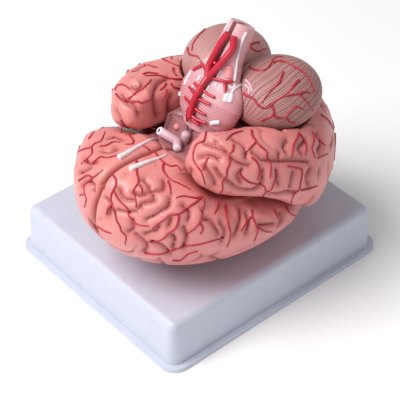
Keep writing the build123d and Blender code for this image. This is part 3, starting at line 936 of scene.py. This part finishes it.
def tissue_material(name, ridge, ridge_second, crease_shade_colour, roughness, inner=None):
    """Painted vinyl: mottled over the ridges, with painted shade down the grooves, and a second colour where
    the mesh marks it: painted shade in the hollow around the cortex's core, the pale cut face of a nerve.
    """
    material, tree, shader = node_material(name, roughness, coat=0.12, coat_roughness=0.35)
    patches = ramp_of(tree, noise_of(tree, 45), [(0.35, ridge), (0.65, ridge_second)])
    if inner:
        patches = mixed(tree, value_of(tree, "inner"), patches, inner)
    # Painted shade: the crease colour where the mesh marks a groove, crease or hole
    colour = mixed(tree, value_of(tree, "fold"), patches, crease_shade_colour)
    tree.links.new(colour, shader.inputs["Base Color"])
    add_bump(tree, shader, noise_of(tree, 1100, 2), strength=0.12, distance=0.0004)
    return material


def painted_material(name, colour, second, roughness, coat=0.0):
    """A painted or moulded plastic with slight variation."""
    material, tree, shader = node_material(name, roughness, coat=coat)
    patches = ramp_of(tree, noise_of(tree, 120), [(0.35, colour), (0.65, second)])
    tree.links.new(patches, shader.inputs["Base Color"])
    add_bump(tree, shader, noise_of(tree, 1400, 2), strength=0.08, distance=0.0003)
    return material


# The tissues' third colour is painted shade down their grooves and creases; the cortex's fourth is painted
# shade in the hollow around its core, the optic nerves' fourth their pale cut face.
cortex_paint = tissue_material("cortex_paint", (0.76, 0.27, 0.25), (0.7, 0.23, 0.22), (0.34, 0.05, 0.05),
                               0.42, (0.34, 0.14, 0.15))
cerebellum_paint = tissue_material("cerebellum_paint", (0.5, 0.25, 0.235), (0.44, 0.2, 0.19),
                                   (0.2, 0.07, 0.06), 0.5)
stem_paint = tissue_material("stem_paint", (0.72, 0.4, 0.43), (0.68, 0.33, 0.37), (0.5, 0.17, 0.2), 0.4)
artery_paint = painted_material("artery_paint", (0.56, 0.01, 0.04), (0.48, 0.008, 0.03), 0.3, coat=0.3)
surface_artery_paint = painted_material("surface_artery_paint", (0.47, 0.02, 0.045),
                                        (0.38, 0.015, 0.035), 0.4)
nerve_paint = painted_material("nerve_paint", (0.86, 0.78, 0.8), (0.8, 0.7, 0.74), 0.4)
optic_paint = tissue_material("optic_paint", (0.62, 0.36, 0.42), (0.72, 0.5, 0.56), (0.06, 0.02, 0.025), 0.38,
                              (0.9, 0.84, 0.86))
olive_paint = painted_material("olive_paint", (0.8, 0.3, 0.3), (0.74, 0.25, 0.26), 0.42)
curl_paint = painted_material("curl_paint", (0.7, 0.4, 0.46), (0.76, 0.52, 0.58), 0.42)
pin_plastic = painted_material("pin_plastic", (0.75, 0.74, 0.72), (0.7, 0.69, 0.68), 0.45)
base_plastic = painted_material("base_plastic", (0.56, 0.59, 0.69), (0.54, 0.57, 0.68), 0.38, coat=0.15)


def cad_finish(names, material):
    """A CAD node's own material."""
    for name in names:
        node = frame["nodes"][name]
        node.data.materials.clear()
        node.data.materials.append(material)


cad_finish(["base"], base_plastic)
cad_finish(["base_pegs", "hemisphere_pins", "temporal_pins", "cerebellum_pins", "stem_pins"], pin_plastic)


# The carved lobes
def left_temporal_forms(x, out, z):
    """Outside the left temporal and occipital lobe, which is fuller on top."""
    return temporal_forms(x, out, z, left_rise)


# Each lobe's body, form, grooves and arteries, by its name and side
lobes = {
    ("frontal_parietal", 1): ("brain", frontal_forms, frontal_right_grooves, frontal_right_arteries),
    ("frontal_parietal", -1): ("brain", frontal_forms, frontal_left_grooves, frontal_left_arteries),
    ("temporal_occipital", 1): ("temporal_right", temporal_forms, temporal_right_grooves,
                                temporal_right_arteries),
    ("temporal_occipital", -1): ("temporal_left", left_temporal_forms, temporal_left_grooves,
                                 temporal_left_arteries),
}
lobe_bodies, lobe_forms, lobe_grooves, lobe_arteries = (
    {key: row[k] for key, row in lobes.items()} for k in range(4))
lobe_room = {
    "frontal_parietal": ((-98, -2, 32), (84, 70, 121)),
    "temporal_occipital": ((-52, -2, 54), (84, 76, 144)),
}
side_names = {1: "right", -1: "left"}
smooth_lobes = {}
for (form, side), forms in lobe_forms.items():
    if forms is frontal_forms and side < 0:
        smooth_lobes[form, side] = smooth_lobes[form, 1]
        continue

    def whole(x, out, z, forms=forms):
        return blend_max(*forms(x, out, z), seam_rounding)
    points, quads = net_of(whole, *lobe_room[form], cortex_step)
    smooth_lobes[form, side] = (settled(points, whole), quads)


def cerebellum_points(side):
    """One half of the cerebellum: its folia fan out from low in front, round to the back."""
    count = folia * folium_steps
    turns = pi * (np.arange(cerebellum_rings) + 0.5) / cerebellum_rings
    angles = 2 * pi * np.arange(count) / count
    turn, angle = np.meshgrid(turns, angles, indexing="ij")
    wander = folia_wander * np.sin(3 * turn + 2 * angle) + 0.5 * folia_wander * np.sin(7 * turn - 3 * angle)
    number = folia * (angle + wander) / (2 * pi)
    deep = 0.6 + 0.4 * np.cos(number * 2.4)
    fade = np.clip(np.sin(turn) * 2.2 - 0.35, 0, 1)
    groove = (0.5 + 0.5 * np.cos(2 * pi * number)) ** 2 * deep * fade * folia_shown[side]
    sink = np.append(folia_depth * groove, [0, 0])
    front = np.append(-np.cos(turn), [-1, 1])
    sideways = np.append(np.sin(turn) * np.cos(angle), [0, 0])
    up = np.append(np.sin(turn) * np.sin(angle), [0, 0])
    lean = radians(folia_lean)
    ways = (front * cos(lean) - up * sin(lean), sideways, front * sin(lean) + up * cos(lean))
    points = np.stack([middle + (size / 2 - sink) * way
                       for middle, size, way in zip(cerebellum_middle, cerebellum_size, ways)], axis=1)
    # Flat at the mid plane, and hollowed to clear the stem
    points[:, 1] = np.maximum(points[:, 1], half_gap * 2)
    height, forward = stem_axes(points[:, 0], points[:, 2])
    widest = max(stem_sections, key=lambda section: section[1])
    wide, deep, shift = stem_section(np.maximum(height, widest[0]))
    wide, deep = wide + 2 * body_gap, deep + 2 * body_gap
    reach = np.sqrt((points[:, 1] / wide) ** 2 + ((forward - shift) / deep) ** 2)
    push = np.maximum(1 / np.maximum(reach, least_reach), 1)
    new_forward = shift + (forward - shift) * push
    points[:, 1] *= push
    points[:, 0] += (new_forward - forward) * stem_forward.x
    points[:, 2] += (new_forward - forward) * stem_forward.z
    faces = capped_faces(cerebellum_rings, count, reverse=True)
    if side > 0:
        faces = [face[::-1] for face in faces]
    # The folia's grooves are also painted darker, as painted shade, weaker on the left half
    values = np.append(groove.reshape(-1), [0, 0])
    return world(points, side), faces, values


def stem_points(side):
    """One half of the brain stem, with the cross stripes of the pons."""
    heights = np.arange(stem_sections[0][0], stem_sections[-1][0] + 0.01, stem_step)
    turns = np.linspace(-pi / 2, pi / 2, stem_turns)
    height, turn = np.meshgrid(heights, turns, indexing="ij")
    wide, deep, shift = stem_section(height)
    on_pons = np.clip((height - stripe_ends[0]) / stripe_fade, 0, 1)
    on_pons = on_pons * np.clip((stripe_ends[1] - height) / stripe_fade, 0, 1)
    bow = height + stripe_bow * np.cos(turn) ** 2 + stripe_wander * np.sin(5 * turn + height / 3)
    groove = (0.5 + 0.5 * np.cos(2 * pi * bow / stripe_pitch)) ** 2 * on_pons
    sink = stripe_depth * groove
    forward = shift + (deep - sink) * np.sin(turn)
    inner = np.where((height > slot_start) & (forward > slot_floor), medulla_slot / 2, half_gap)
    out = np.maximum((wide - sink) * np.cos(turn), inner)
    # Two more points in each ring make the floor of the slot
    out = np.hstack([out, inner[:, -1:], np.full((len(heights), 1), half_gap)])
    forward, height, groove = (np.pad(value, ((0, 0), (0, 2)), "edge") for value in (forward, height, groove))
    forward[:, -2:] = (slot_floor, slot_floor - 1)
    # The slot's floor gets the full painted shade; the stripes' grooves get painted shade too
    groove[:, -2:] = 1
    points = on_stem(height, out, forward).reshape(-1, 3)
    # The foot stands on the core
    short = np.maximum(core_height - points[:, 2], 0) / stem_up.z
    points[:, 0] += stem_up.x * short
    points[:, 2] += stem_up.z * short
    count = stem_turns + 2
    faces = ring_faces(len(heights), count, reverse=True)
    faces.append(tuple(range(count))[::-1])
    faces.append(tuple((len(heights) - 1) * count + k for k in range(count)))
    if side > 0:
        faces = [face[::-1] for face in faces]
    return world(points, side), faces, groove.reshape(-1)


cerebella = {side: cerebellum_points(side) for side in (1, -1)}
stems = {side: stem_points(side) for side in (1, -1)}
smooth_sides = {}
for (form, side), (points, quads) in smooth_lobes.items():
    smooth_sides[form, side] = (world(points, side), quads[:, ::-1] if side > 0 else quads)
others = [shape[:2] for shape in (*cerebella.values(), *stems.values())]
brain_tree = tree_of(*joined(list(smooth_sides.values()) + others))


def from_behind(courses, key, tree):
    """Courses of places out and up, laid on the back of a lobe where the camera doesn't see it."""
    hits = []
    for course in courses:
        for out, z in curve_through(course, course_step):
            start = Vector((base_middle.x + behind, mid_y - key[1] * out, z))
            place, normal = tree.ray_cast(start, Vector((-1, 0, 0)))[:2]
            hits.append((None, None) if place is None or seen(place) else (place, normal))
        hits.append((None, None))
    return runs_of(hits)


def laid_both(lines, trees):
    """Each side's own courses and the other side's mirrored onto what the camera doesn't see."""
    own = {key: laid(lines[key], trees[key]) for key in lines}
    both = {}
    for form, side in own:
        mirrored = [part for run in own[form, -side] for part in mirrored_line(run, trees[form, side])]
        both[form, side] = own[form, side] + mirrored
        if lines is lobe_arteries:
            both[form, side] += from_behind(back_courses, (form, side), trees[form, side])
    return both


def raised_arteries(name, runs, body):
    """Painted arteries raised on a carved piece."""
    shape = joined(tubes(runs, artery_radius, artery_tip_radius, artery_lift))
    make_piece(f"arteries_{name}", *shape, body, "artery", surface_artery_paint)


smooth_trees = {key: tree_of(*shape) for key, shape in smooth_sides.items()}
groove_runs = laid_both(lobe_grooves, smooth_trees)
mark_runs = laid_both(lobe_arteries, smooth_trees)
final_sides = {}
for (form, side), (places, faces) in smooth_sides.items():
    points = smooth_lobes[form, side][0]
    cut = lobe_forms[form, side](*points.T)[1]
    edge = np.clip(-cut / edge_width, 0, 1)
    normals = corner_normals(places, faces)
    groove_away = line_distance(places, groove_runs[form, side], groove_reach)
    mark_away = line_distance(places, mark_runs[form, side], groove_reach)
    plain = np.clip(np.minimum(groove_away, mark_away) / plain_reach, 0, 1) ** 2
    folds = fold_groove(*points.T) * plain * edge
    grooves = np.exp(-groove_away / groove_width)
    places = places - normals * np.maximum(folds * fold_depth, grooves * groove_depth)[:, None]
    name = f"{form}_{side_names[side]}"
    x, out, z = points.T
    seam_shade = np.exp(-abs(z - seam_height(x, out)) / seam_shade_width) * (out > core_half_width + 1)
    # Painted shade down the folds and grooves and along the seam between the lobes
    values = {"fold": np.maximum(np.maximum(folds, grooves), seam_shade)}
    if form == "frontal_parietal":
        # and painted shade along the cleft of the mid plane
        values["fold"] = np.maximum(values["fold"], np.exp(-out / cleft_width))
        # Painted shade fills the hollow around the core, in place of the crease shade
        inner = 1
        for depth, fade in zip((x - core_shade_front, core_shade_reach - out, z - core_shade_height), core_shade_fades):
            inner = inner * np.clip(depth / fade, 0, 1)
        values["inner"] = inner
        values["fold"] = values["fold"] * (1 - inner)
    make_piece(f"cortex_{name}", places, faces, lobe_bodies[form, side], "cortex", cortex_paint, [name],
               values)
    final_sides[form, side] = (places, faces)
final_trees = {key: tree_of(*shape) for key, shape in final_sides.items()}
for (form, side), runs in laid_both(lobe_arteries, final_trees).items():
    raised_arteries(f"{form}_{side_names[side]}", runs, lobe_bodies[form, side])

cerebellum_lines = {1: cerebellum_right_arteries, -1: cerebellum_left_arteries}
for side, (points, faces, groove) in cerebella.items():
    name = f"cerebellum_{side_names[side]}"
    make_piece(f"folia_{name}", points, faces, f"{name}_half", "cerebellum", cerebellum_paint, [name],
               {"fold": groove})
    raised_arteries(name, laid(cerebellum_lines[side], tree_of(points, faces)), f"{name}_half")
for side, (points, faces, groove) in stems.items():
    name = f"brain_stem_{side_names[side]}"
    make_piece(f"tissue_{name}", points, faces, "brain", "stem", stem_paint, [name], {"fold": groove})

# The arteries over the stem, one moulding that clears it, with its own pin
trunk_runs = laid(trunk_courses, stem_skin(trunk_radius + artery_clearance))
branch_runs = laid(branch_courses, stem_skin(branch_radius + artery_clearance))
end_runs = laid(end_courses, stem_skin(end_radius + artery_clearance))
_, pin_deep, pin_shift = stem_section(artery_pin_height)
pin_foot, pin_head = (on_stem(artery_pin_height, 0, pin_shift + pin_deep + away)
                      for away in (-artery_pin_reach, trunk_radius))
pin_profile = [(0, artery_pin_radius - 0.3), (0.3, artery_pin_radius),
               (artery_pin_reach + trunk_radius, artery_pin_radius)]
make_piece("arteries_brain_stem", *joined(
    tubes(trunk_runs, trunk_radius, trunk_tip_radius, lift=0, sides=16)
    + tubes(branch_runs, branch_radius, branch_tip_radius, lift=0, sides=10)
    + tubes(end_runs, end_radius, branch_tip_radius, lift=0, sides=12)
    + [turned(pin_foot, pin_head, pin_profile)]), "artery", "artery", artery_paint, ["basilar_artery"])

# Nerve roots and olives on the stem, and the curls beside it
stem_tree = tree_of(*joined(shape[:2] for shape in stems.values()))
root_runs = laid(root_courses, stem_tree)
broad_root_runs = laid(broad_root_courses, stem_tree)
make_piece("nerve_roots_brain_stem", *joined(
    tubes(root_runs, root_radius, root_radius, lift=0)
    + tubes(broad_root_runs, broad_root_radius, broad_root_radius, lift=-0.4, sides=12)),
    "brain", "nerve", nerve_paint)
olives = tubes(laid(olive_courses, stem_tree), olive_radius, olive_radius, lift=-0.7, sides=16)
make_piece("olives_brain_stem", *joined(olives), "brain", "stem", olive_paint)
curl_runs = laid(curl_courses, tree_of(*cerebella[1][:2]))
make_piece("curls_cerebellum_right", *joined(tubes(curl_runs, root_radius, root_radius, lift=0)),
           "cerebellum_right_half", "nerve", curl_paint)

# Tracts, cut nerves and stalk
for side, line in tract_courses.items():
    runs = laid([line], final_trees["frontal_parietal", side])
    tract = tubes(runs, tract_bulb_radius, tract_tip_radius, lift=0.2, sides=12)
    name = f"olfactory_tract_{side_names[side]}"
    make_piece(f"raised_{name}", *joined(tract), "brain", "nerve", nerve_paint, [name])
carotid_runs = laid([carotid_course], final_trees["frontal_parietal", -1])
carotid = tubes(carotid_runs, carotid_radius, carotid_radius, lift=0.6, sides=12)
make_piece("carotid_left", *joined(carotid), "brain", "artery", artery_paint)
optic_forms = []
cut_values = []
bore_shade_values = []
for number, end in enumerate(optic_ends):
    length = (Vector(end) - Vector(chiasm_middle)).length
    profile = [(-1.5, 1.3), (-0.8, 2.2), (0.4, optic_radius), (length - 0.6, optic_radius),
               (length, optic_radius - 0.5)]
    cut_ring = [0, 0, 0, 0, 1]
    bore_shade_ring = [0] * 5
    if number == 0:
        # The bore is painted near black, as painted shade in the hole
        profile += [(length, optic_bore), (length - 0.5, optic_bore), (length - bore_depth, optic_bore)]
        cut_ring += [1, 0, 0]
        bore_shade_ring += [0, 1, 1]
    optic_forms.append(turned(chiasm_middle, end, profile, slant=optic_slant * (number == 0)))
    cut_values.append(ring_values(cut_ring))
    bore_shade_values.append(ring_values(bore_shade_ring))
make_piece("optic_nerves", *joined(optic_forms), "brain", "nerve", optic_paint, ["optic_chiasm"],
           {"inner": np.concatenate(cut_values), "fold": np.concatenate(bore_shade_values)})
stalk_length = (Vector(stalk_ends[1]) - Vector(stalk_ends[0])).length
stalk_profile = [(0, stalk_radius - 0.4), (0.4, stalk_radius), (stalk_length - 5, stalk_radius),
                 (stalk_length - 2.6, stalk_head), (stalk_length - 1, stalk_head - 0.3),
                 (stalk_length, stalk_radius - 0.7)]
make_piece("cut_pituitary_stalk", *turned(*stalk_ends, stalk_profile), "brain", "stem", optic_paint,
           ["pituitary_stalk"])

# The small round body behind the stalk
bead_place, bead_way = brain_tree.ray_cast(camera_place, pixel_way(bead_pixel))[:2]
bead_turns = np.linspace(0.2, pi - 0.2, 9)
bead_profile = [(-bead_radius * cos(turn), bead_radius * sin(turn)) for turn in bead_turns]
bead_ends = [(place.x - base_middle.x, mid_y - place.y, place.z)
             for place in (bead_place, bead_place + bead_way)]
make_piece("mammillary_body", *turned(*bead_ends, bead_profile), "brain", "cortex", olive_paint)

# Studio
floor_size = 20
room_light = 0.43
bpy.ops.mesh.primitive_plane_add(size=floor_size)
floor = bpy.context.object
floor.name = "floor"
floor_material, floor_tree, floor_shader = node_material("floor_paper", 0.9)
floor_stops = [(0.3, (0.94, 0.94, 0.945)), (0.7, (0.96, 0.96, 0.96))]
floor_tree.links.new(ramp_of(floor_tree, noise_of(floor_tree, 3), floor_stops),
                     floor_shader.inputs["Base Color"])
floor.data.materials.append(floor_material)

scene = bpy.context.scene
scene.view_settings.view_transform = "Standard"
scene.world = bpy.data.worlds.new("studio")
scene.world.use_nodes = True
room = scene.world.node_tree
background = room.nodes["Background"]
background.inputs["Color"].default_value = (1, 1, 1, 1)
# The room lights the model softly, and the camera sees it as white
light_path = room.nodes.new("ShaderNodeLightPath")
strength = room.nodes.new("ShaderNodeMapRange")
strength.inputs["To Min"].default_value = room_light
strength.inputs["To Max"].default_value = 1
room.links.new(light_path.outputs["Is Camera Ray"], strength.inputs["Value"])
room.links.new(strength.outputs["Result"], background.inputs["Strength"])


def add_light(name, place, aim, size, power):
    """A soft square light."""
    data = bpy.data.lights.new(name, "AREA")
    data.size = size
    data.energy = power
    light = bpy.data.objects.new(name, data)
    scene.collection.objects.link(light)
    light.location = place
    light.rotation_euler = (Vector(aim) - Vector(place)).to_track_quat("-Z", "Y").to_euler()


brain_centre = (0, 0, 0.09)
add_light("key", (-0.85, 0.25, 1.3), brain_centre, 0.9, 25)
add_light("fill", (-0.6, -1.2, 0.7), brain_centre, 1.0, 0.5)

camera_data = bpy.data.cameras.new("camera")
camera_data.lens = camera_lens
camera_data.sensor_width = sensor_width
camera_data.clip_start = 0.01
camera_data.clip_end = 20
camera = bpy.data.objects.new("camera", camera_data)
scene.collection.objects.link(camera)
columns = Matrix((camera_side, camera_over, -look)).transposed().to_4x4()
camera.matrix_world = Matrix.Translation(camera_place * METRE) @ columns
scene.camera = camera
